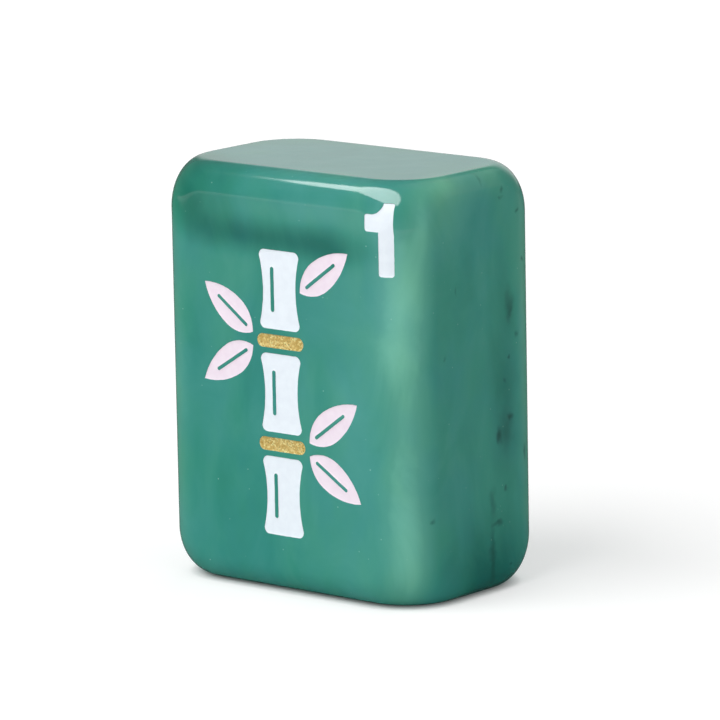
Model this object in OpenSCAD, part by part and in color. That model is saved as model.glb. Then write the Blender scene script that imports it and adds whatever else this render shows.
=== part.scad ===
// Mahjong tile: a solid polished acrylic block with pockets engraved in its front face,
// and a paint inlay set in each pocket.
// It stands on a short end, with the front towards -Y, right towards +X and up along +Z.
// The origin is the middle of its base. All sizes are in millimetres.

/* [Tile block] */
// Width of the tile, left to right
tile_w = 23.2; // [19:0.1:29]
// Depth of the tile, front to back
tile_d = 15.1; // [12:0.1:20]
// Height of the tile, from base to top
tile_h = 30; // [25:0.1:38]
// Radius of the four upright edges
upright_edge_r = 3.2; // [2:0.05:4]
// Radius of the edges that run from front to back
cross_edge_r = 1.4; // [0.8:0.05:2]
// Radius of the edges that run from left to right
end_edge_r = 2.1; // [1:0.05:2.6]

/* [Engraving] */
// Depth of a pocket, at its shallowest
pocket_depth = 0.45; // [0.3:0.01:0.8]
// How far the paint lies below the polished surface
paint_recess = 0.06; // [0.03:0.01:0.15]

/* [Numeral] */
// Height of the numeral
numeral_h = 5.05; // [4:0.05:6.5]
// Width of the numeral's stem
stem_w = 1.05; // [0.8:0.05:1.6]
// How far the flag stands out to the left of the stem
flag_l = 1.15; // [0.9:0.05:1.6]
// Height of the flag
flag_h = 1.2; // [0.9:0.05:1.6]
// From the stem's top down to the flag, and the radius of the round notch between them
flag_drop = 0.75; // [0.5:0.05:1]
// How far the notch cuts into the stem
notch_in = 0.15; // [0:0.05:0.5]
// How far the stem's right edge leans in at its top, where the tile's corner falls away
shoulder_in = 0.2; // [0.1:0.02:0.3]
// Height of that lean
shoulder_h = 2.2; // [1.5:0.1:3]
// Radius of the numeral's corners
numeral_corner_r = 0.18; // [0.1:0.01:0.25]
// From the tile's right side to the numeral
numeral_side_gap = 1.55; // [1:0.05:3]
// From the tile's top to the numeral
numeral_top_gap = 1.35; // [1:0.05:3]

/* [Bamboo stalk] */
// Width of a stalk segment at its ends
stalk_w = 3.6; // [2.8:0.1:4.4]
// Height of a stalk segment
segment_h = 5.6; // [4.5:0.1:6.8]
// How far a segment's sides draw in at mid height
waist_in = 0.32; // [0.1:0.02:0.5]
// Radius of a segment's corners
segment_corner_r = 0.45; // [0.2:0.05:0.6]
// Width of a node ring
ring_w = 4.2; // [3.2:0.1:5.2]
// Height of a node ring
ring_h = 0.95; // [0.7:0.05:1.3]
// Bare land left between one pocket and the next
land = 0.4; // [0.3:0.05:0.6]
// How far the middle of the motif lies below the middle of the tile
motif_drop = 0.6; // [-1:0.1:1]
// Width of the bare stripe left standing in a segment
stripe_w = 0.32; // [0.2:0.02:0.4]
// From the stripe's ends to the segment's ends
stripe_end_gap = 1.2; // [0.8:0.05:1.6]
// How far the stripe lies to the left of the stalk's middle
stripe_shift = 0.65; // [0:0.05:0.7]

/* [Bamboo leaves] */
// Length of a leaf
leaf_l = 5.4; // [4.5:0.1:6.5]
// Width of a leaf
leaf_w = 2.3; // [1.7:0.05:2.8]
// From a leaf's foot to its widest place
leaf_shoulder = 2.2; // [1.8:0.1:2.6]
// Width of the bare midrib left standing in a leaf
rib_w = 0.26; // [0.2:0.02:0.35]
// From a leaf's foot to its midrib
rib_foot_gap = 0.65; // [0.5:0.05:1]
// From the midrib to a leaf's tip
rib_tip_gap = 1.45; // [1:0.05:2]
// Angle of a rising leaf above the horizontal
rise_angle = 36; // [28:1:50]
// Angle of a drooping leaf below the horizontal
droop_angle = 32; // [26:1:45]

/* [Hidden] */
// Facets round an edge of the block, and round a curve of the engraving
edge_fn = 32;
curve_fn = 96;
// How far a cut runs out past the front face
cut_over = 1;

acrylic = "#3f8a80";
white_paint = "#e6eaf3";
pink_paint = "#f0deea";
gold_paint = "#c89f3c";

half_w = tile_w / 2;
half_d = tile_d / 2;
half_h = tile_h / 2;

// The numeral reaches onto two round edges, so its flat pocket is deeper by what they fall away.
numeral_right = half_w - numeral_side_gap;
numeral_top = tile_h - numeral_top_gap;
function round_off(r, gap) = r - sqrt(r ^ 2 - max(0, r - gap) ^ 2);
numeral_depth = pocket_depth + round_off(upright_edge_r, numeral_side_gap)
    + round_off(end_edge_r, numeral_top_gap);

// Steps up the stalk: a segment, a ring, a segment, a ring and a segment
stalk_step = segment_h + ring_h + 2 * land;
ring_rise = stalk_step / 2;
motif_mid = half_h - motif_drop;
segment_side = segment_h - 2 * segment_corner_r;
waist_r = (segment_side ^ 2 / 4 + waist_in ^ 2) / (2 * waist_in);

SEGMENTS = ["lower_stalk_paint", "middle_stalk_paint", "upper_stalk_paint"];
RINGS = ["lower_ring_paint", "upper_ring_paint"];
LEAVES = ["left_rising_leaf_paint", "left_drooping_leaf_paint",
    "right_rising_leaf_paint", "right_drooping_leaf_paint", "top_leaf_paint"];

// Each leaf's foot, from the motif's middle, and its angle. A leaf on the left is mirrored.
ring_foot = ring_w / 2 + land;
waist_foot = stalk_w / 2 - waist_in + land;
pair_rise = ring_h / 2;
LEFT = -1;
RIGHT = 1;
LEAF_PLACES = [
    [LEFT, ring_foot, ring_rise + pair_rise, rise_angle],
    [LEFT, ring_foot, ring_rise - pair_rise, -droop_angle],
    [RIGHT, ring_foot, -ring_rise + pair_rise, rise_angle],
    [RIGHT, ring_foot, -ring_rise - pair_rise, -droop_angle],
    [RIGHT, waist_foot, stalk_step, rise_angle]];

// The polished block, or the same surface a little way in.
// Three crossed bars add up to it, and each bar gives the edges along it their radius.
module tile_form(inset) {
    up_r = upright_edge_r - inset;
    cross_r = cross_edge_r - inset;
    end_r = end_edge_r - inset;
    translate([0, 0, half_h])
        minkowski() {
            bar(up_r, tile_h - 2 * (inset + cross_r + end_r));
            rotate([90, 0, 0])
                bar(cross_r, tile_d - 2 * (inset + up_r + end_r));
            rotate([0, 90, 0])
                bar(end_r, tile_w - 2 * (inset + up_r + cross_r));
        }
}

module bar(r, l) {
    cylinder(r = r, h = l, center = true, $fn = edge_fn);
}

// The solid behind an outline on the front face, between two depths below that face
module in_front(deep, shallow) {
    translate([0, -half_d, 0])
        rotate([90, 0, 0])
            translate([0, 0, -deep])
                linear_extrude(deep - shallow)
                    children();
}

module round_rect(w, h, r) {
    square([w - 2 * r, h], center = true);
    square([w, h - 2 * r], center = true);
    for (x = [-1, 1], y = [-1, 1])
        translate([x * (w / 2 - r), y * (h / 2 - r)])
            circle(r, $fn = curve_fn);
}

// A shape with round corners, from the middles of its corners, listed anticlockwise
module round_corners(mids, r) {
    last = len(mids) - 1;
    polygon([for (i = [0:last])
        let (from = mids[i], to = mids[i == last ? 0 : i + 1], side = to - from)
            each [for (mid = [from, to]) mid + r * [side[1], -side[0]] / norm(side)]]);
    for (mid = mids)
        translate(mid)
            circle(r, $fn = curve_fn);
}

module slot(l, w) {
    square([l - w, w], center = true);
    for (x = [-1, 1])
        translate([x * (l - w) / 2, 0])
            circle(w / 2, $fn = curve_fn);
}

module numeral_outline() {
    stem_left = numeral_right - stem_w;
    flag_top = numeral_top - flag_drop;
    notch_mid = stem_left + notch_in - flag_drop;
    left = stem_left + numeral_corner_r;
    right = numeral_right - numeral_corner_r;
    bottom = numeral_top - numeral_h + numeral_corner_r;
    top = numeral_top - numeral_corner_r;
    difference() {
        union() {
            round_corners([[left, bottom], [right, bottom], [right, numeral_top - shoulder_h],
                [right - shoulder_in, top], [left, top]], numeral_corner_r);
            translate([stem_left + (stem_w / 2 - flag_l) / 2, flag_top - flag_h / 2])
                round_rect(flag_l + stem_w / 2, flag_h, numeral_corner_r);
            translate([notch_mid, flag_top - numeral_corner_r])
                square([flag_drop, flag_drop]);
        }
        translate([notch_mid, flag_top + flag_drop])
            circle(flag_drop, $fn = curve_fn);
    }
}

module segment_outline(i) {
    translate([0, motif_mid + (i - 1) * stalk_step])
        difference() {
            round_rect(stalk_w, segment_h, segment_corner_r);
            for (side = [-1, 1])
                translate([side * (stalk_w / 2 - waist_in + waist_r), 0])
                    circle(waist_r, $fn = curve_fn);
            translate([-stripe_shift, 0])
                rotate(90)
                    slot(segment_h - 2 * stripe_end_gap, stripe_w);
        }
}

module ring_outline(i) {
    translate([0, motif_mid + (2 * i - 1) * ring_rise])
        slot(ring_w, ring_h);
}

// Half of a lens: it starts at its full width and ends in a point
module half_lens(l, w) {
    lens_r = (4 * l ^ 2 + w ^ 2) / (4 * w);
    intersection() {
        translate([0, lens_r - w / 2])
            circle(lens_r, $fn = curve_fn);
        translate([0, w / 2 - lens_r])
            circle(lens_r, $fn = curve_fn);
        translate([0, -w])
            square([l + w, 2 * w]);
    }
}

module leaf() {
    rib_l = leaf_l - rib_foot_gap - rib_tip_gap;
    difference() {
        translate([leaf_shoulder, 0]) {
            half_lens(leaf_l - leaf_shoulder, leaf_w);
            mirror([1, 0])
                half_lens(leaf_shoulder, leaf_w);
        }
        translate([rib_foot_gap + rib_l / 2, 0])
            slot(rib_l, rib_w);
    }
}

module leaf_outline(i) {
    place = LEAF_PLACES[i];
    mirror([place[0] == LEFT ? 1 : 0, 0])
        translate([place[1], motif_mid + place[2]])
            rotate(place[3])
                leaf();
}

module tile_block() {
    color(acrylic)
        difference() {
            tile_form(0);
            in_front(numeral_depth, -cut_over)
                numeral_outline();
            in_front(pocket_depth, -cut_over) {
                for (i = [0:len(SEGMENTS) - 1])
                    segment_outline(i);
                for (i = [0:len(RINGS) - 1])
                    ring_outline(i);
                for (i = [0:len(LEAVES) - 1])
                    leaf_outline(i);
            }
        }
}

module numeral_paint() {
    color(white_paint)
        intersection() {
            tile_form(paint_recess);
            in_front(numeral_depth, -cut_over)
                numeral_outline();
        }
}

module segment_paint(i) {
    color(white_paint)
        in_front(pocket_depth, paint_recess)
            segment_outline(i);
}

module ring_paint(i) {
    color(gold_paint)
        in_front(pocket_depth, paint_recess)
            ring_outline(i);
}

module leaf_paint(i) {
    color(pink_paint)
        in_front(pocket_depth, paint_recess)
            leaf_outline(i);
}

tile_block();
numeral_paint();
for (i = [0:len(SEGMENTS) - 1])
    segment_paint(i);
for (i = [0:len(RINGS) - 1])
    ring_paint(i);
for (i = [0:len(LEAVES) - 1])
    leaf_paint(i);
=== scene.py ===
"""Looks for a mahjong tile: a polished block of marbled acrylic with painted engraving.

Shapes are worked out in millimetres and written to the meshes in metres.
The front faces -Y, right is +X and up is +Z, as in the CAD.
"""
import math

import bpy
import numpy as np
from mathutils import Matrix, Vector
from mathutils.bvhtree import BVHTree
from mathutils.geometry import barycentric_transform, delaunay_2d_cdt
from mathutils.noise import noise


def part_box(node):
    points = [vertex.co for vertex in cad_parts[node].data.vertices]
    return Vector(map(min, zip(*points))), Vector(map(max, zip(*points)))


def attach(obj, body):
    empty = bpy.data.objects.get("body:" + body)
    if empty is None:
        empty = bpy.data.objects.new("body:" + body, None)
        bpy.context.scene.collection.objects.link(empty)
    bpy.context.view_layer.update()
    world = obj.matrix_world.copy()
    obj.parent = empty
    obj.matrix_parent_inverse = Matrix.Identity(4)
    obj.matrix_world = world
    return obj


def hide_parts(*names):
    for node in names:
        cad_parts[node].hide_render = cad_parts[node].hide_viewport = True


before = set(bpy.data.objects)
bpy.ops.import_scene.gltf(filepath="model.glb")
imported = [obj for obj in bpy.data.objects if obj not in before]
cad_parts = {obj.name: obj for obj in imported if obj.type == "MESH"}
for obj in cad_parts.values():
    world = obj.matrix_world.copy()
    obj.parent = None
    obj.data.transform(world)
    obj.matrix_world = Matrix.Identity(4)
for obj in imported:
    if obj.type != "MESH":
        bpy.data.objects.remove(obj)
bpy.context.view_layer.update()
MM = 0.001
BODY = "root"
BLOCK = "tile_block"

# Nodes that hold paint, by the record's slot
PAINTED = {
    "white_paint": ["numeral_paint", "lower_stalk_paint", "middle_stalk_paint", "upper_stalk_paint"],
    "gold_paint": ["lower_ring_paint", "upper_ring_paint"],
    "pink_paint": [
        "left_rising_leaf_paint",
        "left_drooping_leaf_paint",
        "right_rising_leaf_paint",
        "right_drooping_leaf_paint",
        "top_leaf_paint",
    ],
}

# The block's size comes from the CAD block, and its edges have these radii.
block_low, block_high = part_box(BLOCK)
WIDTH, DEPTH, HEIGHT = (block_high - block_low) / MM
UPRIGHT_R = 3.2
CROSS_R = 1.4
END_R = 2.1
CORE = np.array([
    WIDTH / 2 - UPRIGHT_R - CROSS_R,
    DEPTH / 2 - UPRIGHT_R - END_R,
    HEIGHT / 2 - CROSS_R - END_R,
])
FRONT = np.array([0.0, -1.0, 0.0])
BACK = -FRONT

# How finely the block is meshed
CORNER_POINTS = 48
LEAN_STEPS = 32
CAP_STEPS = 22
STRAIGHT_STEP = 1.2
FLAT_STEP = 0.9
LEAST_LEAN_GAP = 1e-4
BEND_WEIGHT = 1.5
TABLE_POINTS = 400
# How far polishing leans the shading normals towards the left and right edges, as a sine at the edge
CROWN = 0.0714

# The engraving: its sampling, its soft rim and the small unevenness of its edge
LOOP_STEP = 0.08
LOOP_LEAST = 0.03
RIM_R = 0.035
RIM_ANGLES = [math.radians(a) for a in (30, 60, 90)]
RIM_CLEAR = 0.06
MITRE_LIMIT = 2.0
RAGGED = 0.012
RAGGED_SCALE = 3.0
WELD = 1e-4
CDT_EPSILON = 1e-6

# The paint: how far below the surface it lies, at its edge and inside, and its unevenness
EDGE_DEPTH = 0.028
INNER_DEPTH = 0.06
MENISCUS = 0.07
PAINT_WAVE = 0.006
PAINT_WAVE_SCALE = 0.9
PAINT_WAVE_SEED = 7.0
# How finely the paint is meshed: loops that follow its edge, and a grid within them
PAINT_INSETS = (0.03, 0.075, 0.14)
PAINT_STEP = 0.16
GRID_GAP = 1.4 * PAINT_INSETS[-1]
# How far from the edge an inset loop's points stay, as a share of the inset
LEAST_INSET = 0.9
# Paint is shaded smoothly except where its faces meet at more than this
SHARP_ANGLE = math.radians(45)


def unit_pair(normals, first, second):
    """The part of each normal that lies in one coordinate plane, at length 1."""
    pair = normals[:, [first, second]]
    return pair / np.linalg.norm(pair, axis=1, keepdims=True)


def surface_at(lean, turns):
    """Points and normals of the front's upper right corner.

    Each normal leans away from the front by lean, towards the direction that turns gives.
    """
    across = np.cos(turns)
    rise = np.sin(turns)
    normals = np.stack(
        [math.sin(lean) * across, np.full_like(turns, -math.cos(lean)), math.sin(lean) * rise], axis=1)
    points = np.tile(CORE * [1, -1, 1], (len(turns), 1))
    points[:, [0, 1]] += UPRIGHT_R * unit_pair(normals, 0, 1)
    points[:, [0, 2]] += CROSS_R * np.stack([across, rise], axis=1)
    points[:, [1, 2]] += END_R * unit_pair(normals, 1, 2)
    return points, normals


def corner_arc(lean):
    """A quarter of the ring at one lean, its points spaced evenly by distance and bend."""
    turns = [np.linspace(0, math.pi / 2, TABLE_POINTS)]
    if lean > 0:
        steps = np.tan(np.linspace(0, lean, TABLE_POINTS)) / math.tan(lean)
        steps = np.clip(steps, 0, 1)
        turns += [np.arcsin(steps), np.arccos(steps)]
    turns = np.unique(np.concatenate(turns))
    points, normals = surface_at(lean, turns)
    moves = np.linalg.norm(np.diff(points, axis=0), axis=1)
    bends = np.linalg.norm(np.diff(normals, axis=0), axis=1)
    reach = np.concatenate([[0], np.cumsum(np.hypot(moves, BEND_WEIGHT * bends))])
    even = np.linspace(0, reach[-1], CORNER_POINTS)
    return surface_at(lean, np.interp(even, reach, turns))


def ring(lean):
    """A closed ring round the block, anticlockwise from the front, at one lean of the normal."""
    arc, arc_normals = corner_arc(lean)
    corners = []
    for x_side, z_side in ((1, 1), (-1, 1), (-1, -1), (1, -1)):
        side = np.array([x_side, 1, z_side])
        order = slice(None, None, x_side * z_side)
        corners.append(((arc * side)[order], (arc_normals * side)[order]))
    points = []
    normals = []
    for number, (corner, corner_normals) in enumerate(corners):
        following = corners[(number + 1) % len(corners)][0][0]
        gap = following - corner[-1]
        count = round(np.linalg.norm(gap) / STRAIGHT_STEP)
        shares = np.arange(1, count)[:, None] / count
        points += [corner, corner[-1] + shares * gap]
        normals += [corner_normals, np.tile(corner_normals[-1], (count - 1, 1))]
    return np.concatenate(points) + [0, 0, HEIGHT / 2], np.concatenate(normals)


class Shape:
    """A mesh in the making: points, faces, and a normal for each corner of each face."""

    def __init__(self):
        self.points = []
        self.faces = []
        self.normals = []

    def add(self, points):
        """Adds points and returns their numbers."""
        start = len(self.points)
        self.points.extend(points)
        return np.arange(start, len(self.points))

    def band(self, near, near_normals, far, far_normals):
        """Adds a closed band of quads between two loops of equal length."""
        for i in range(len(near)):
            j = (i + 1) % len(near)
            self.faces.append((near[i], far[i], far[j], near[j]))
            self.normals += [near_normals[i], far_normals[i], far_normals[j], near_normals[j]]

    def patch(self, faces, numbers, normals):
        """Adds triangles that are given by their places in numbers and normals."""
        for face in faces:
            self.faces.append(tuple(numbers[face]))
            self.normals += [normals[i] for i in face]

    def crowned(self):
        """The normals, leaning a little more towards the nearer side edge than the plain shape does.

        The sides, the top and the base keep theirs.
        """
        normals = np.array(self.normals)
        places = np.array([self.points[i][0] for face in self.faces for i in face])
        free = (1 - abs(normals[:, 0])) ** 3 * (1 - normals[:, 2] ** 4)
        normals[:, 0] += CROWN * 2 * places / WIDTH * free
        return normals / np.linalg.norm(normals, axis=1, keepdims=True)

    def make(self, name, material, own_normals=True):
        """Turns the shape into an object."""
        mesh = bpy.data.meshes.new(name)
        points = [Vector(p) * MM for p in self.points]
        faces = [[int(i) for i in face] for face in self.faces]
        mesh.from_pydata(points, [], faces, shade_flat=False)
        mesh.validate()
        if own_normals:
            mesh.normals_split_custom_set([Vector(n) for n in self.crowned()])
        else:
            mesh.set_sharp_from_angle(angle=SHARP_ANGLE)
        mesh.materials.append(material)
        made = bpy.data.objects.new(name, mesh)
        bpy.context.scene.collection.objects.link(made)
        return made


def inside(spots, loops):
    """Whether each spot lies within the loops, by the even-odd rule."""
    odd = np.zeros(len(spots), bool)
    for loop in loops:
        for (x0, z0), (x1, z1) in zip(loop, np.roll(loop, -1, axis=0)):
            if z0 == z1:
                continue
            level = (spots[:, 1] >= z0) != (spots[:, 1] >= z1)
            meet = x0 + (spots[:, 1] - z0) * (x1 - x0) / (z1 - z0)
            odd ^= level & (spots[:, 0] < meet)
    return odd


def clearance(spots, loops):
    """How far each spot lies from the nearest loop."""
    least = np.full(len(spots), np.inf)
    for loop in loops:
        for start, end in zip(loop, np.roll(loop, -1, axis=0)):
            way = end - start
            share = np.clip((spots - start) @ way / (way @ way), 0, 1)
            gaps = np.linalg.norm(spots - start - share[:, None] * way, axis=1)
            least = np.minimum(least, gaps)
    return least


def filled(loops, extra):
    """Triangles between loops in the (x, z) plane, through the loops' points and then the extra ones.

    The loops have their inside on the left. Returns the points and the anticlockwise triangles.
    """
    spots = np.concatenate(loops + [extra])
    edges = []
    start = 0
    for loop in loops:
        count = len(loop)
        edges += [(start + i, start + (i + 1) % count) for i in range(count)]
        start += count
    found = delaunay_2d_cdt([Vector(s) for s in spots], edges, [], 0, CDT_EPSILON, True)
    origins = np.array([numbers[0] for numbers in found[3]])
    faces = origins[np.array(found[2])]
    faces = faces[inside(spots[faces].mean(axis=1), loops)]
    first = spots[faces[:, 1]] - spots[faces[:, 0]]
    second = spots[faces[:, 2]] - spots[faces[:, 0]]
    clockwise = first[:, 0] * second[:, 1] < first[:, 1] * second[:, 0]
    faces[clockwise] = faces[clockwise][:, ::-1]
    return spots, faces


def grid_within(loops, step, gap):
    """A staggered grid of spots inside the loops, at least gap away from them."""
    low = np.min([loop.min(axis=0) for loop in loops], axis=0)
    high = np.max([loop.max(axis=0) for loop in loops], axis=0)
    rows = []
    for number, z in enumerate(np.arange(low[1] + gap, high[1], step * math.sqrt(0.75))):
        shift = step / 2 if number % 2 else 0
        across = np.arange(low[0] + gap + shift, high[0], step)
        rows.append(np.stack([across, np.full_like(across, z)], axis=1))
    spots = np.concatenate(rows)
    spots = spots[inside(spots, loops)]
    return spots[clearance(spots, loops) > gap]


def outline(node):
    """The loops of a paint node's flat floor in the (x, z) plane, with the paint on their left."""
    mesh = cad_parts[node].data
    points = np.array([v.co for v in mesh.vertices]) / MM
    floor = points[:, 1].max()
    keys = [tuple(np.round(p[[0, 2]] / WELD).astype(int)) for p in points]
    follows = {}
    for face in mesh.polygons:
        corners = list(face.vertices)
        if min(points[corners, 1]) < floor - WELD:
            continue
        x, z = points[corners][:, [0, 2]].T
        if np.sum(x * np.roll(z, -1) - z * np.roll(x, -1)) < 0:
            corners.reverse()
        for start, end in zip(corners, corners[1:] + corners[:1]):
            if follows.get(keys[end]) and keys[start] in follows[keys[end]]:
                follows[keys[end]].remove(keys[start])
            else:
                follows.setdefault(keys[start], []).append(keys[end])
    loops = []
    while any(follows.values()):
        key = min(k for k, ends in follows.items() if ends)
        loop = []
        while follows.get(key):
            loop.append(key)
            key = follows[key].pop()
        loops.append(np.array(loop) * WELD)
    return loops, floor


def outward(loop):
    """At each point of a loop, the way to its right, long enough to move both edges by 1."""
    ahead = np.roll(loop, -1, axis=0) - loop
    right = np.stack([ahead[:, 1], -ahead[:, 0]], axis=1)
    right /= np.linalg.norm(right, axis=1, keepdims=True)
    mean = right + np.roll(right, 1, axis=0)
    mean /= np.linalg.norm(mean, axis=1, keepdims=True)
    lean = np.maximum((mean * right).sum(axis=1), 1 / MITRE_LIMIT)
    return mean / lean[:, None]


def engraved(loop):
    """A loop with even steps and the slight unevenness of a cutter's edge."""
    kept = [loop[0]]
    for spot in loop[1:]:
        if np.linalg.norm(spot - kept[-1]) > LOOP_LEAST:
            kept.append(spot)
    if np.linalg.norm(kept[-1] - kept[0]) < LOOP_LEAST:
        kept.pop()
    fine = []
    for start, end in zip(kept, kept[1:] + kept[:1]):
        count = max(1, math.ceil(np.linalg.norm(end - start) / LOOP_STEP))
        fine += [start + (end - start) * i / count for i in range(count)]
    fine = np.array(fine)
    shifts = [RAGGED * noise(Vector((x, 0, z)) * RAGGED_SCALE) for x, z in fine]
    return fine + outward(fine) * np.array(shifts)[:, None]


# The whole skin of the block, without engraving, as rings from front to back
front_rings = [ring(lean) for lean in np.linspace(0, math.pi / 2 - LEAST_LEAN_GAP, LEAN_STEPS + 1)]
mirror = np.array([1, -1, 1])
rings = front_rings + [(points * mirror, normals * mirror) for points, normals in front_rings[::-1]]


def skin_search():
    """A search tree of the skin's front, with its triangles, points and normals."""
    points = [Vector(p) for ring_points, _ in front_rings for p in ring_points]
    normals = [Vector(n) for _, ring_normals in front_rings for n in ring_normals]
    count = len(front_rings[0][0])
    faces = [(0, i, i + 1) for i in range(1, count - 1)]
    for start in range(0, LEAN_STEPS * count, count):
        for i in range(count):
            j = (i + 1) % count
            near, far = start + i, start + count + i
            far_next, near_next = start + count + j, start + j
            faces += [(near, far, far_next), (near, far_next, near_next)]
    return BVHTree.FromPolygons(points, faces, all_triangles=True), faces, points, normals


skin_tree, skin_faces, skin_points, skin_normals = skin_search()


def on_skin(spots):
    """The skin's depth and normal at spots of the (x, z) plane."""
    depths = []
    normals = []
    for x, z in spots:
        place, _, number, _ = skin_tree.ray_cast(Vector((x, -DEPTH, z)), Vector(BACK))
        corners = skin_faces[number]
        ends = [skin_points[i] for i in corners] + [skin_normals[i] for i in corners]
        depths.append(place.y)
        normals.append(np.array(barycentric_transform(place, *ends).normalized()))
    return np.array(depths), np.array(normals)


def placed(spots, depths):
    """Spots of the (x, z) plane, with their depths, as points."""
    return np.stack([spots[:, 0], np.broadcast_to(depths, len(spots)), spots[:, 1]], axis=1)


def sideways(ways):
    """Directions in the (x, z) plane as unit vectors."""
    flat = placed(ways, 0)
    return flat / np.linalg.norm(flat, axis=1, keepdims=True)


# Each pocket's loops and floor, read from the paint that fills it
pockets = {}
for names in PAINTED.values():
    for name in names:
        raw, floor_depth = outline(name)
        pockets[name] = ([engraved(loop) for loop in raw], floor_depth)


def build_block(material):
    """The acrylic block: its skin, and the pockets with their soft rims, walls and floors."""
    shape = Shape()
    numbers = [shape.add(points) for points, _ in rings[CAP_STEPS:]]
    bands = list(zip(numbers, rings[CAP_STEPS:]))
    for (near, (_, near_normals)), (far, (_, far_normals)) in zip(bands, bands[1:]):
        shape.band(near, near_normals, far, far_normals)

    rim_loops = [loop + RIM_R * outward(loop) for loops, _ in pockets.values() for loop in loops]
    border = rings[CAP_STEPS][0][:, [0, 2]]
    curved = np.concatenate([points for points, _ in rings[:CAP_STEPS]])
    curved_normals = np.concatenate([normals for _, normals in rings[:CAP_STEPS]])
    spots = curved[:, [0, 2]]
    free = ~inside(spots, rim_loops) & (clearance(spots, rim_loops) > RIM_CLEAR)
    flat_edge = rings[0][0][:, [0, 2]]
    flat = grid_within([flat_edge], FLAT_STEP, FLAT_STEP / 2)
    flat = flat[~inside(flat, rim_loops)]
    flat = flat[clearance(flat, rim_loops) > FLAT_STEP / 4]

    around = np.concatenate(rim_loops)
    around_depths, around_normals = on_skin(around)
    loops = [border] + rim_loops
    spots, faces = filled(loops, np.concatenate([spots[free], flat]))
    around_numbers = shape.add(placed(around, around_depths))
    curved_numbers = shape.add(curved[free])
    flat_numbers = shape.add(placed(flat, -DEPTH / 2))
    numbers_here = np.concatenate([numbers[0], around_numbers, curved_numbers, flat_numbers])
    normals_here = np.concatenate([
        rings[CAP_STEPS][1], around_normals, curved_normals[free], np.tile(FRONT, (len(flat), 1))])
    shape.patch(faces, numbers_here, normals_here)

    start = 0
    for loops, floor_depth in pockets.values():
        floor_numbers = []
        for loop in loops:
            ways = outward(loop)
            walls = -sideways(ways)
            upper = around_numbers[start:start + len(loop)]
            top_depths = around_depths[start:start + len(loop)]
            top_normals = around_normals[start:start + len(loop)]
            upper_normals = top_normals
            start += len(loop)
            for angle in RIM_ANGLES:
                spots = loop + ways * RIM_R * (1 - math.sin(angle))
                lower = shape.add(placed(spots, top_depths + RIM_R * (1 - math.cos(angle))))
                lower_normals = math.cos(angle) * top_normals + math.sin(angle) * walls
                shape.band(lower, lower_normals, upper, upper_normals)
                upper, upper_normals = lower, lower_normals
            lower = shape.add(placed(loop, floor_depth))
            shape.band(lower, walls, upper, walls)
            floor_numbers.append(lower)
        _, faces = filled(loops, np.zeros((0, 2)))
        floor_numbers = np.concatenate(floor_numbers)
        shape.patch(faces, floor_numbers, np.tile(FRONT, (len(floor_numbers), 1)))

    back = rings[-1][0][:, [0, 2]]
    back_grid = grid_within([back], FLAT_STEP, FLAT_STEP / 2)
    back_numbers = np.concatenate([numbers[-1], shape.add(placed(back_grid, DEPTH / 2))])
    _, faces = filled([back], back_grid)
    shape.patch(faces[:, ::-1], back_numbers, np.tile(BACK, (len(back_numbers), 1)))
    return shape.make("polished_block", material)


def build_paint(node, material):
    """One inlay of paint: it fills its pocket, rises a little at the walls and dries slightly uneven."""
    loops, floor_depth = pockets[node]
    extra = [grid_within(loops, PAINT_STEP, GRID_GAP)]
    for inset in PAINT_INSETS:
        moved = np.concatenate([loop - inset * outward(loop) for loop in loops])
        moved = moved[inside(moved, loops)]
        extra.append(moved[clearance(moved, loops) > LEAST_INSET * inset])
    spots, faces = filled(loops, np.concatenate(extra))
    skin_depths, skin_ways = on_skin(spots)
    gaps = clearance(spots, loops)
    edge_count = sum(len(loop) for loop in loops)
    gaps[:edge_count] = 0
    waves = [PAINT_WAVE * noise(Vector((x, PAINT_WAVE_SEED, z)) * PAINT_WAVE_SCALE) for x, z in spots]
    rise = np.exp(-gaps / MENISCUS)
    depths = INNER_DEPTH - (INNER_DEPTH - EDGE_DEPTH) * rise + np.array(waves) * (1 - rise)

    shape = Shape()
    top = shape.add(placed(spots, skin_depths - depths / skin_ways[:, 1]))
    bottom = shape.add(placed(spots[:edge_count], floor_depth))
    # Paint is shaded by its faces, so these normals only keep count.
    any_normals = np.tile(FRONT, (len(spots), 1))
    shape.patch(faces, top, any_normals)
    start = 0
    for loop in loops:
        part = slice(start, start + len(loop))
        shape.band(top[part], any_normals, bottom[part], any_normals)
        start += len(loop)
    _, faces = filled(loops, np.zeros((0, 2)))
    shape.patch(faces[:, ::-1], bottom, any_normals)
    return shape.make(node + "_inlay", material, own_normals=False)


def linear(code):
    """A colour such as #3f8a80 as linear red, green and blue, with full alpha."""
    values = [int(code[i:i + 2], 16) / 255 for i in (1, 3, 5)]
    return [v / 12.92 if v <= 0.04045 else ((v + 0.055) / 1.055) ** 2.4 for v in values] + [1]


def add(tree, kind, sockets=None, **settings):
    """Adds a node. sockets gives its inputs, by name or number, a value or the output that feeds them."""
    made = tree.nodes.new(kind)
    for name, value in settings.items():
        setattr(made, name, value)
    for key, value in (sockets or {}).items():
        if isinstance(value, bpy.types.NodeSocket):
            tree.links.new(value, made.inputs[key])
        else:
            made.inputs[key].default_value = value
    return made


def maths(tree, operation, first, second=0.0, third=0.0):
    """The result of a Math node."""
    return add(tree, "ShaderNodeMath", {0: first, 1: second, 2: third}, operation=operation).outputs[0]


def vector_maths(tree, operation, first, second):
    """The vector result of a Vector Math node."""
    return add(tree, "ShaderNodeVectorMath", {0: first, 1: second}, operation=operation).outputs[0]


def blend(tree, factor, first, second):
    """A mix of two colours."""
    made = add(tree, "ShaderNodeMix", {0: factor, 6: first, 7: second}, data_type="RGBA")
    return made.outputs[2]


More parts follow.
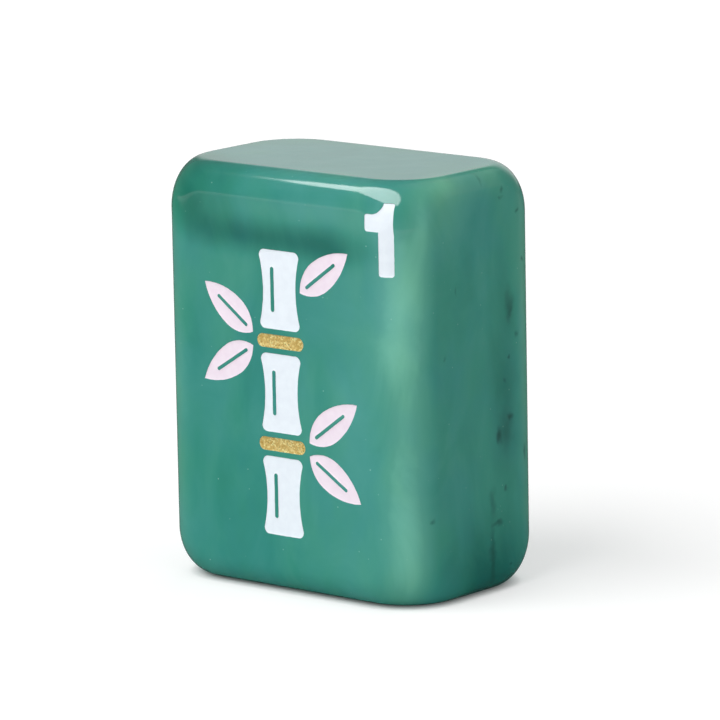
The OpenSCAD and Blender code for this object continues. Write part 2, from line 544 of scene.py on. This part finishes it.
def fade(tree, value, start, end, low=0.0, high=1.0):
    """A smooth change from low to high as value goes from start to end."""
    made = add(
        tree,
        "ShaderNodeMapRange",
        {"Value": value, "From Min": start, "From Max": end, "To Min": low, "To Max": high},
        interpolation_type="SMOOTHSTEP",
    )
    return made.outputs[0]


def ramp(tree, value, stops):
    """A colour ramp with the given places and colours."""
    made = add(tree, "ShaderNodeValToRGB", {0: value})
    elements = made.color_ramp.elements
    while len(elements) < len(stops):
        elements.new(1.0)
    for element, (place, code) in zip(elements, stops):
        element.position = place
        element.color = linear(code)
    return made.outputs[0]


def cloud_noise(tree, place, scale, detail=3.0, roughness=0.5, distortion=0.0):
    """A Noise Texture node; scale is in turns per millimetre."""
    sockets = {
        "Vector": place,
        "Scale": scale,
        "Detail": detail,
        "Roughness": roughness,
        "Distortion": distortion,
    }
    return add(tree, "ShaderNodeTexNoise", sockets)


def new_material(name, ior):
    """A material with its Principled shader, and the object's own coordinates in millimetres."""
    material = bpy.data.materials.new(name)
    material.use_nodes = True
    tree = material.node_tree
    shader = tree.nodes["Principled BSDF"]
    shader.inputs["IOR"].default_value = ior
    coordinates = add(tree, "ShaderNodeTexCoord")
    scale = [1 / MM] * 3
    place = vector_maths(tree, "MULTIPLY", coordinates.outputs["Object"], scale)
    return material, tree, shader, place


def bump(tree, shader, height, distance):
    """Bump on a shader, with the height's full range in millimetres."""
    made = add(tree, "ShaderNodeBump", {"Height": height, "Distance": distance * MM})
    tree.links.new(made.outputs[0], shader.inputs["Normal"])


# Refraction of the acrylic, the paint and the floor
ACRYLIC_IOR = 1.45
PAINT_IOR = 1.5
PAPER_IOR = 1.45
# The acrylic's marbling: turns per millimetre, and the range of tones and of greenness that it gives
WARP_SCALE = 0.16
MARBLE_STRETCH = (1.0, 1.0, 0.55)
MARBLE_SCALE = 0.22
TONE_RANGE = 0.32
TONE_BASE = 0.37
HUE_SCALE = 0.30
HUE_FADE = (0.35, 0.7)
GREEN_RANGE = (0.05, 0.45)
# Its specks: how far apart they may lie, their inner and outer radius, and their strength
SPECK_CELL = 1.0
SPECK_RADII = (0.02, 0.07)
SPECK_STRENGTH = 0.6
# Its polish: roughness, and the slow waves that are left in the surface
POLISH_SCALE = 0.7
POLISH_RANGE = 0.08
POLISH_BASE = 0.05
WAVE_SCALE = 0.35
WAVE_HEIGHT = 0.012
# The unevenness of its dark inclusions, in turns per millimetre
NUDGE_SCALE = 0.9
HALF_GREY = (0.5, 0.5, 0.5)
# The paint's mottle and grain, and the gold paint's flakes: turns per millimetre, relief and roughness
MOTTLE_SCALE = 1.6
MOTTLE_FADE = (0.3, 0.75)
GRAIN_SCALE = 9.0
GRAIN_HEIGHT = 0.004
ENAMEL_ROUGH_RANGE = 0.25
ENAMEL_ROUGH_BASE = 0.32
FLAKE_SCALE = 9.0
FLAKE_HEIGHT = 0.01
GILT_ROUGH_RANGE = 0.25
GILT_ROUGH_BASE = 0.25
GILT_METALLIC = 0.4
# Tone changes in the acrylic, most of them drifts and some painted light and shade as marked: middle and
# reach in millimetres, and how much lighter and greener each one is
DRIFTS_AND_PAINTED_LIGHT = [
    # Darker across the front below its top edge
    ((-7.5, -7.5, 26.2), (5.0, 4.0, 2.4), -0.15, 0.4),
    ((-3.5, -7.5, 25.4), (6.5, 4.0, 2.0), -0.24, 0.0),
    ((4.0, -7.5, 25.3), (7.0, 4.0, 1.8), -0.30, 0.0),
    # Painted light: lighter just under the front's top edge
    ((3.5, -7.5, 27.6), (8.0, 4.0, 1.5), 0.12, 0.0),
    # Painted light: the front's top edge lighter above its highlight
    ((4.0, -6.0, 29.6), (8.0, 3.0, 1.5), 0.14, 0.0),
    # Painted shade: the front's upper left corner darker
    ((-10.5, -6.5, 28.5), (8.0, 5.0, 4.0), -0.36, 0.6),
    ((-8.0, -7.5, 8.0), (5.0, 5.0, 8.0), -0.06, 0.0),
    ((7.5, -7.5, 14.0), (9.0, 5.0, 24.0), 0.12, -0.1),
    ((10.5, -7.3, 20.5), (3.5, 3.0, 6.0), 0.08, 0.0),
    ((10.5, -7.3, 13.0), (3.5, 3.0, 5.5), -0.10, 0.0),
    ((10.5, -7.3, 3.0), (3.5, 3.0, 6.0), 0.03, 0.0),
    ((10.6, -6.6, 28.2), (2.2, 1.7, 2.8), -0.24, 0.0),
    ((11.4, -5.6, 24.5), (1.5, 1.5, 9.0), 0.12, 0.0),
    ((5.4, -7.5, 24.2), (3.0, 3.0, 1.4), -0.12, 0.0),
    # Painted light: the side's top edge lighter where it faces the light from above, in this row and the
    # next
    ((11.6, -3.4, 29.0), (3.0, 4.0, 6.0), 0.19, 0.5),
    ((11.4, 0.0, 29.8), (3.0, 12.0, 2.2), 0.14, 0.4),
    ((11.6, -1.0, 24.0), (4.0, 3.0, 4.0), -0.06, 0.0),
    ((11.6, 5.5, 18.0), (3.0, 3.0, 20.0), 0.08, 0.2),
    ((11.6, 3.0, 15.0), (3.5, 2.6, 14.0), -0.18, 0.0),
    # Painted shade: the side darker towards the floor
    ((11.6, 1.0, 0.0), (4.0, 7.5, 8.0), -0.36, 0.0),
    ((11.6, -4.0, 5.0), (3.0, 3.0, 6.0), -0.06, 0.2),
    ((0.0, 0.0, 30.0), (12.0, 8.0, 2.5), 0.0, -0.5),
    ((2.0, 7.5, 8.5), (14.0, 4.0, 5.0), -0.18, 0.2),
    ((-5.0, 7.5, 21.0), (8.0, 4.0, 6.0), 0.12, 0.4),
    ((-11.6, 1.5, 19.0), (4.0, 4.0, 13.0), -0.14, 0.0),
]
# Painted light where light would soak through each upright edge, in the same terms, from the tile's upright
# axis outwards
PAINTED_EDGE_LIGHT = ((11.2, 7.1, 15.0), (3.4, 2.8, 60.0), 0.30, 0.4)
# Dark inclusions: middle and reach in millimetres, and strength
INCLUSIONS = [
    ((11.4, 0.73, 29.4), (2.0, 0.25, 0.6), 0.30),
    ((11.4, 2.70, 28.6), (2.0, 0.25, 0.3), 0.50),
    ((11.4, 2.65, 28.1), (2.0, 0.25, 0.25), 0.40),
    ((11.4, 4.56, 26.8), (2.0, 0.28, 0.28), 0.60),
    ((11.4, 5.05, 23.2), (2.0, 0.28, 0.40), 0.60),
    ((11.4, -2.30, 22.1), (2.0, 0.18, 0.7), 0.35),
    ((11.4, 3.50, 20.3), (2.0, 0.75, 2.1), 0.45),
    ((11.4, 3.50, 19.8), (2.0, 0.40, 1.0), 0.35),
    ((11.4, 4.38, 18.1), (2.0, 0.35, 0.5), 0.50),
    ((11.4, -3.50, 17.6), (2.0, 0.2, 0.2), 0.35),
    ((11.4, 3.34, 16.5), (2.0, 0.28, 0.3), 0.75),
    ((11.4, 2.85, 14.9), (2.0, 0.28, 0.3), 0.45),
    ((11.4, 3.47, 12.3), (2.0, 0.50, 0.5), 0.85),
    ((11.4, 3.00, 11.4), (2.0, 1.2, 2.2), 0.45),
    ((11.4, 2.32, 11.1), (2.0, 0.42, 0.9), 0.85),
    ((11.4, 5.20, 9.4), (2.0, 0.35, 0.9), 0.50),
    ((11.4, 3.03, 7.2), (2.0, 0.25, 0.45), 0.60),
    ((11.4, -5.10, 6.4), (2.0, 0.3, 0.3), 0.45),
    ((11.4, 1.45, 6.4), (2.0, 0.6, 1.6), 0.40),
    ((11.4, 1.90, 4.9), (2.0, 0.9, 0.35), 0.65),
    ((11.4, 1.35, 2.6), (2.0, 0.5, 3.2), 0.60),
    ((11.4, 3.30, 1.7), (2.0, 0.3, 0.25), 0.50),
    ((-6.2, 7.4, 12.4), (0.5, 2.0, 1.4), 0.60),
    ((-5.6, 7.4, 10.9), (0.35, 2.0, 0.4), 0.75),
    ((4.4, 7.4, 23.8), (0.4, 2.0, 0.5), 0.60),
    ((7.1, 7.4, 17.2), (0.3, 2.0, 0.3), 0.55),
    ((-11.4, -2.6, 9.0), (2.0, 0.4, 1.8), 0.50),
    ((-11.4, -1.7, 16.5), (2.0, 0.3, 0.35), 0.65),
]


def acrylic():
    """Polished jade green acrylic: cloudy drifts, painted light on its edges and painted light and shade in
    places, dark inclusions and a few fine pale specks.
    """
    material, tree, shader, place = new_material("marbled_acrylic", ACRYLIC_IOR)
    drift = cloud_noise(tree, place, WARP_SCALE, detail=2.0)
    shift = vector_maths(tree, "SUBTRACT", drift.outputs["Color"], HALF_GREY)
    warped = vector_maths(tree, "ADD", place, shift)
    stretched = vector_maths(tree, "MULTIPLY", place, MARBLE_STRETCH)
    marble = cloud_noise(tree, stretched, MARBLE_SCALE, detail=4.0, roughness=0.55, distortion=0.8)
    tone = maths(tree, "MULTIPLY_ADD", marble.outputs["Fac"], TONE_RANGE, TONE_BASE)
    hue = cloud_noise(tree, stretched, HUE_SCALE, detail=2.0)
    green = fade(tree, hue.outputs["Fac"], *HUE_FADE, *GREEN_RANGE)

    def cloud(spot, middle, reach):
        away = vector_maths(tree, "SUBTRACT", spot, middle)
        away = vector_maths(tree, "DIVIDE", away, reach)
        length = add(tree, "ShaderNodeVectorMath", {0: away}, operation="LENGTH").outputs["Value"]
        return fade(tree, length, 0.0, 1.0, 1.0, 0.0)

    # The edges' painted light, then the listed tone changes, some of them painted light and shade
    outwards = add(tree, "ShaderNodeVectorMath", {0: place}, operation="ABSOLUTE").outputs[0]
    for spot, (middle, reach, lighter, greener) in [(outwards, PAINTED_EDGE_LIGHT)] + [(warped, c) for c in DRIFTS_AND_PAINTED_LIGHT]:
        form = cloud(spot, middle, reach)
        tone = maths(tree, "MULTIPLY_ADD", form, lighter, tone)
        green = maths(tree, "MULTIPLY_ADD", form, greener, green)
    teal = ramp(tree, tone, [
        (0.0, "#0c4f4b"), (0.25, "#16645e"), (0.5, "#34857c"), (0.75, "#4e988f"), (1.0, "#74bfb0")])
    jade = ramp(tree, tone, [
        (0.0, "#0b4f40"), (0.25, "#146a55"), (0.5, "#358a6e"), (0.75, "#549d82"), (1.0, "#78bf9f")])
    colour = blend(tree, green, teal, jade)

    small = cloud_noise(tree, place, NUDGE_SCALE, detail=2.0)
    nudge = vector_maths(tree, "SUBTRACT", small.outputs["Color"], HALF_GREY)
    uneven = vector_maths(tree, "ADD", place, nudge)
    clear = 1.0
    for middle, reach, strength in INCLUSIONS:
        form = cloud(uneven, middle, reach)
        clear = maths(tree, "MULTIPLY", maths(tree, "MULTIPLY_ADD", form, -strength, 1.0), clear)
    colour = blend(tree, clear, linear("#0a3f3b"), colour)

    cells = add(tree, "ShaderNodeTexVoronoi", {"Vector": place, "Scale": 1 / SPECK_CELL})
    chance = add(tree, "ShaderNodeSeparateColor", {0: cells.outputs["Color"]}).outputs[0]
    dot = fade(tree, cells.outputs["Distance"], *SPECK_RADII, SPECK_STRENGTH, 0.0)
    speck = maths(tree, "MULTIPLY", maths(tree, "POWER", chance, 2.0), dot)
    colour = blend(tree, speck, colour, linear("#9ccfc0"))
    tree.links.new(colour, shader.inputs["Base Color"])

    polish = cloud_noise(tree, place, POLISH_SCALE, detail=3.0)
    rough = maths(tree, "MULTIPLY_ADD", polish.outputs["Fac"], POLISH_RANGE, POLISH_BASE)
    tree.links.new(rough, shader.inputs["Roughness"])
    wave = cloud_noise(tree, place, WAVE_SCALE, detail=1.0)
    bump(tree, shader, wave.outputs["Fac"], WAVE_HEIGHT)
    return material


def enamel(name, code, shade):
    """Dried paint: a faint mottle, a fine grain and a soft gloss."""
    material, tree, shader, place = new_material(name, PAINT_IOR)
    mottle = cloud_noise(tree, place, MOTTLE_SCALE, detail=3.0)
    colour = blend(tree, fade(tree, mottle.outputs["Fac"], *MOTTLE_FADE), linear(code), linear(shade))
    tree.links.new(colour, shader.inputs["Base Color"])
    grain = cloud_noise(tree, place, GRAIN_SCALE, detail=3.0, roughness=0.6)
    rough = maths(tree, "MULTIPLY_ADD", grain.outputs["Fac"], ENAMEL_ROUGH_RANGE, ENAMEL_ROUGH_BASE)
    tree.links.new(rough, shader.inputs["Roughness"])
    bump(tree, shader, grain.outputs["Fac"], GRAIN_HEIGHT)
    return material


def gilt(name):
    """Gold paint: metal flakes in a warm binder."""
    material, tree, shader, place = new_material(name, PAINT_IOR)
    flakes = add(tree, "ShaderNodeTexVoronoi", {"Vector": place, "Scale": FLAKE_SCALE})
    tone = add(tree, "ShaderNodeSeparateColor", {0: flakes.outputs["Color"]})
    colour = ramp(tree, tone.outputs[0], [(0.0, "#cfaa56"), (0.6, "#e8ca7c"), (1.0, "#fcefaa")])
    tree.links.new(colour, shader.inputs["Base Color"])
    rough = maths(tree, "MULTIPLY_ADD", tone.outputs[1], GILT_ROUGH_RANGE, GILT_ROUGH_BASE)
    tree.links.new(rough, shader.inputs["Roughness"])
    shader.inputs["Metallic"].default_value = GILT_METALLIC
    bump(tree, shader, tone.outputs[2], FLAKE_HEIGHT)
    return material


# Camera: its direction from the tile, its roll, and the lens that gives the photo's framing
AZIMUTH = math.radians(40.019)
ELEVATION = math.radians(11.107)
ROLL = math.radians(1.059)
DISTANCE = 409.447
SHIFT_RIGHT = 0.681
SHIFT_UP = 0.583
LENS = 289.479
SENSOR = 36.0
MIDDLE = Vector((0, 0, HEIGHT / 2))


def facing(right, up, back, place):
    """A matrix with these axes at a place in millimetres."""
    turn = Matrix((right, up, back)).transposed().to_4x4()
    return Matrix.Translation(Vector(place) * MM) @ turn


def add_camera():
    """The camera at the photo's angle."""
    back = Vector((
        math.sin(AZIMUTH) * math.cos(ELEVATION),
        -math.cos(AZIMUTH) * math.cos(ELEVATION),
        math.sin(ELEVATION),
    ))
    level = Vector((math.cos(AZIMUTH), math.sin(AZIMUTH), 0))
    upright = back.cross(level)
    right = math.cos(ROLL) * level - math.sin(ROLL) * upright
    up = math.sin(ROLL) * level + math.cos(ROLL) * upright
    data = bpy.data.cameras.new("camera")
    data.lens = LENS
    data.sensor_width = SENSOR
    data.clip_start = 0.01
    data.clip_end = 20.0
    camera = bpy.data.objects.new("camera", data)
    place = MIDDLE + DISTANCE * back + SHIFT_RIGHT * right + SHIFT_UP * up
    camera.matrix_world = facing(right, up, back, place)
    bpy.context.scene.collection.objects.link(camera)
    bpy.context.scene.camera = camera


# Studio: the oval softbox that polished surfaces mirror, its direction and long axis,
# and its half sizes at distance 1
SOFTBOX_WAY = Vector((-0.139, -0.387, 0.912))
SOFTBOX_ACROSS = Vector((0.879, -0.472, -0.066))
SOFTBOX_HALF = (0.72, 0.317)
SOFTBOX_DISTANCE = 3000.0
SOFTBOX_RADIANCE = 9.0
# The key light on the tile and the floor, which no polished surface mirrors
KEY_WAY = Vector((-0.23, -0.63, 0.74))
KEY_HALF = (0.659, 0.383)
KEY_DISTANCE = 2950.0
KEY_RADIANCE = 2.7
# A fill from the front that casts no shadow
FILL_WAY = Vector((-0.22, -0.73, 0.64))
FILL_STRENGTH = 0.7
FILL_ANGLE = math.radians(60)
# The room's soft light, brighter behind on the right
BRIGHT_WAY = (0.8, 0.6, 0.0)
BRIGHT_FADE = (-0.6, 0.6)
ROOM_DIM = 0.3
ROOM_BRIGHT = 0.7
# The room as polished surfaces mirror it: dim, with a pale backdrop low behind on the left
# and a less pale one behind on the right
MIRRORED_ROOM = 0.15
MIRRORED_RIGHT = 0.36
MIRRORED_SWEEP = 0.58
BEHIND_FADE = (0.0, 0.4)
RIGHT_START = (-0.32, -0.22)
RIGHT_END = (0.78, 0.92)
SWEEP_LEFT = (-0.76, -0.68)
SWEEP_RIGHT = (-0.4, 0.0)
SWEEP_TOP = (0.22, 0.45)
# The floor: the tone that lights the tile, the tone that the camera sees, and its glow for the camera,
# which fades out where the floor comes this close to the tile, as a painted contact shadow
FLOOR_HALF = 6000.0
FLOOR_TONE = 0.85
FLOOR_SEEN = 0.7
FLOOR_LIFT = 0.36
CONTACT = 0.8
# Its tone in polished surfaces, darker near the tile and to its right as painted shade: near the tile, to
# its right, and far in front
FLOOR_NEAR = 0.1
FLOOR_RIGHT = 0.3
FLOOR_FAR = 0.8
FLOOR_SIDE_FADE = (0.0, 40.0)
FLOOR_FADE = (-40.0, -200.0)


def add_light(name, kind, way, across, distance):
    """A lamp in a direction from the tile's middle."""
    data = bpy.data.lights.new(name, kind)
    lamp = bpy.data.objects.new(name, data)
    away = way.normalized()
    right = (across - across.dot(away) * away).normalized()
    lamp.matrix_world = facing(right, away.cross(right), away, MIDDLE + distance * away)
    lamp.visible_camera = False
    bpy.context.scene.collection.objects.link(lamp)
    return lamp, data


def add_softbox(name, way, half, distance, radiance):
    """An oval lamp, with its half sizes at distance 1."""
    lamp, data = add_light(name, "AREA", way, SOFTBOX_ACROSS, distance)
    data.shape = "ELLIPSE"
    data.size, data.size_y = [2 * length * distance * MM for length in half]
    area = math.pi / 4 * data.size * data.size_y
    data.energy = radiance * math.pi * area
    return lamp


def add_lights():
    """The softbox for polished surfaces, and the key light and the fill for everything else."""
    softbox = add_softbox("softbox", SOFTBOX_WAY, SOFTBOX_HALF, SOFTBOX_DISTANCE, SOFTBOX_RADIANCE)
    softbox.visible_diffuse = False
    key = add_softbox("key", KEY_WAY, KEY_HALF, KEY_DISTANCE, KEY_RADIANCE)
    key.visible_glossy = False
    fill, data = add_light("fill", "SUN", FILL_WAY, SOFTBOX_ACROSS, SOFTBOX_DISTANCE)
    data.energy = FILL_STRENGTH
    data.angle = FILL_ANGLE
    data.use_shadow = False
    fill.visible_glossy = False


def add_world():
    """Soft light from all round, a white backdrop for the camera and a dim room for reflections."""
    world = bpy.data.worlds.new("studio")
    world.use_nodes = True
    tree = world.node_tree
    path = add(tree, "ShaderNodeLightPath")
    way = add(tree, "ShaderNodeTexCoord").outputs["Generated"]
    x, y, z = add(tree, "ShaderNodeSeparateXYZ", {0: way}).outputs
    facing_bright = add(tree, "ShaderNodeVectorMath", {0: way, 1: BRIGHT_WAY}, operation="DOT_PRODUCT")
    room = fade(tree, facing_bright.outputs["Value"], *BRIGHT_FADE, ROOM_DIM, ROOM_BRIGHT)
    behind = fade(tree, y, *BEHIND_FADE)
    left = fade(tree, x, *SWEEP_RIGHT, MIRRORED_SWEEP, 0.0)
    left = maths(tree, "MULTIPLY", fade(tree, x, *SWEEP_LEFT), left)
    low = fade(tree, z, *SWEEP_TOP, 1.0, 0.0)
    right = fade(tree, x, *RIGHT_START, 0.0, MIRRORED_RIGHT)
    right = maths(tree, "MULTIPLY", fade(tree, y, *RIGHT_END, 1.0, 0.0), right)
    pale = maths(tree, "MULTIPLY_ADD", left, low, right)
    mirrored = maths(tree, "MULTIPLY_ADD", pale, behind, MIRRORED_ROOM)
    level = add(tree, "ShaderNodeMix", {0: path.outputs["Is Glossy Ray"], 2: room, 3: mirrored})
    seen = maths(tree, "MAXIMUM", path.outputs["Is Camera Ray"], path.outputs["Is Transmission Ray"])
    level = add(tree, "ShaderNodeMix", {0: seen, 2: level.outputs[0], 3: 1.0})
    background = tree.nodes["Background"]
    tree.links.new(level.outputs[0], background.inputs["Strength"])
    background.inputs["Color"].default_value = (1, 1, 1, 1)
    bpy.context.scene.world = world


def add_floor():
    """A plain white floor that keeps the tile's shadow."""
    mesh = bpy.data.meshes.new("floor")
    half = FLOOR_HALF * MM
    corners = [(-half, -half, 0), (half, -half, 0), (half, half, 0), (-half, half, 0)]
    mesh.from_pydata(corners, [], [(0, 1, 2, 3)])
    material, tree, shader, place = new_material("floor_paper", PAPER_IOR)
    shader.inputs["Roughness"].default_value = 0.9
    shader.inputs["Specular IOR Level"].default_value = 0.0
    path = add(tree, "ShaderNodeLightPath")
    x, y, _ = add(tree, "ShaderNodeSeparateXYZ", {0: place}).outputs
    # Painted shade: the floor as reflected is darker near the tile and to its right
    near = fade(tree, x, *FLOOR_SIDE_FADE, FLOOR_NEAR, FLOOR_RIGHT)
    far = fade(tree, y, *FLOOR_FADE)
    mirrored = add(tree, "ShaderNodeMix", {0: far, 2: near, 3: FLOOR_FAR}).outputs[0]
    tone = add(tree, "ShaderNodeMix", {0: path.outputs["Is Glossy Ray"], 2: FLOOR_TONE, 3: mirrored})
    tone = add(tree, "ShaderNodeMix", {0: path.outputs["Is Camera Ray"], 2: tone.outputs[0], 3: FLOOR_SEEN})
    tree.links.new(tone.outputs[0], shader.inputs["Base Color"])
    # The camera glow fades with occlusion near the tile: a painted contact shadow
    openness = add(tree, "ShaderNodeAmbientOcclusion", {"Distance": CONTACT * MM}).outputs["AO"]
    lift = maths(tree, "MULTIPLY", path.outputs["Is Camera Ray"], FLOOR_LIFT)
    lift = maths(tree, "MULTIPLY", lift, openness)
    shader.inputs["Emission Color"].default_value = (1, 1, 1, 1)
    tree.links.new(lift, shader.inputs["Emission Strength"])
    mesh.materials.append(material)
    floor = bpy.data.objects.new("floor", mesh)
    bpy.context.scene.collection.objects.link(floor)


add_camera()
add_lights()
add_world()
add_floor()
bpy.context.scene.view_settings.view_transform = "Standard"

block = build_block(acrylic())
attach(block, BODY)
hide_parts(BLOCK)

paints = {
    "white_paint": enamel("white_enamel", "#e5edf4", "#e0e8f0"),
    "gold_paint": gilt("gold_flake_paint"),
    "pink_paint": enamel("pink_enamel", "#ecdfea", "#e8d9e6"),
}
for slot, names in PAINTED.items():
    for name in names:
        inlay = build_paint(name, paints[slot])
        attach(inlay, BODY)
        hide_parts(name)
